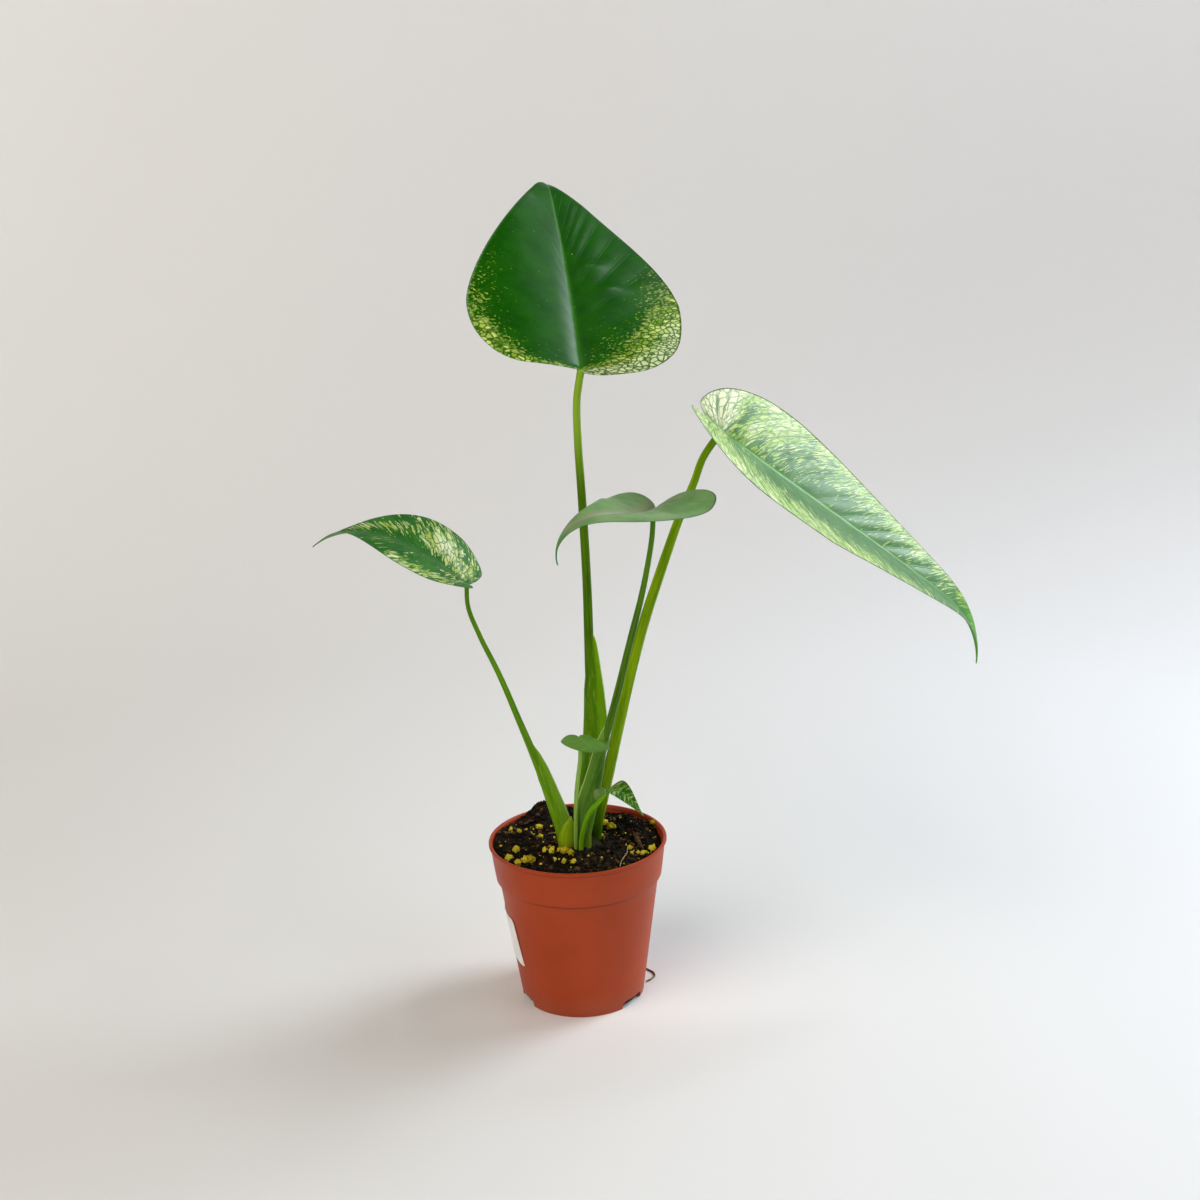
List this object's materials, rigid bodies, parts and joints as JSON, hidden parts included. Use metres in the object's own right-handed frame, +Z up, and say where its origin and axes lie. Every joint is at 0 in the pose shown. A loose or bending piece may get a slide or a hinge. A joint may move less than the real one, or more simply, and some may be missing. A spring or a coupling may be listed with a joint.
{
  "type": "potted variegated monstera house plant",
  "caption": "Young monstera with heart shaped, cream marbled leaves on long stalks, growing in a terracotta coloured plastic nursery pot.",
  "frame": {"origin": "The middle of the pot's underside, on the surface that the pot stands on.", "axes": "+Z is up, -Y is the front that the picture shows, and the long marbled leaf hangs out to +X."},
  "size_m": [0.4335, 0.2723, 0.5407],
  "materials": {
    "pot_plastic": "satin moulded terracotta coloured plastic",
    "label_paper": "blank white sticker",
    "potting_mix": "dark damp crumbly potting mix with yellowed perlite",
    "crown_stem": "yellow green stem, browned at the soil",
    "stalk_green": "satin yellow green",
    "stalk_dark": "satin dark green",
    "blade_deep_green": "glossy waxy deep green with cream flecks",
    "blade_cream_marbled": "waxy green marbled with cream and white",
    "blade_grey_green": "satin grey green",
    "blade_streaked": "waxy dark green with cream streaks",
    "blade_flecked": "waxy green with yellow flecks",
    "root_brown": "dry brown root"
  },
  "bodies": {
    "root": {"pot": "pot_plastic", "label": "label_paper", "soil": "potting_mix", "crown": "crown_stem", "stalk_tall": "stalk_green", "stalk_right": "stalk_green", "stalk_middle": "stalk_dark", "stalk_left": "stalk_green", "stalk_small": "stalk_green", "stalk_baby": "stalk_green", "blade_tall": "blade_deep_green", "blade_right": "blade_cream_marbled", "blade_middle": "blade_grey_green", "blade_left": "blade_streaked", "blade_small": "blade_grey_green", "blade_baby": "blade_flecked", "root": "root_brown"}
  },
  "joints": []
}
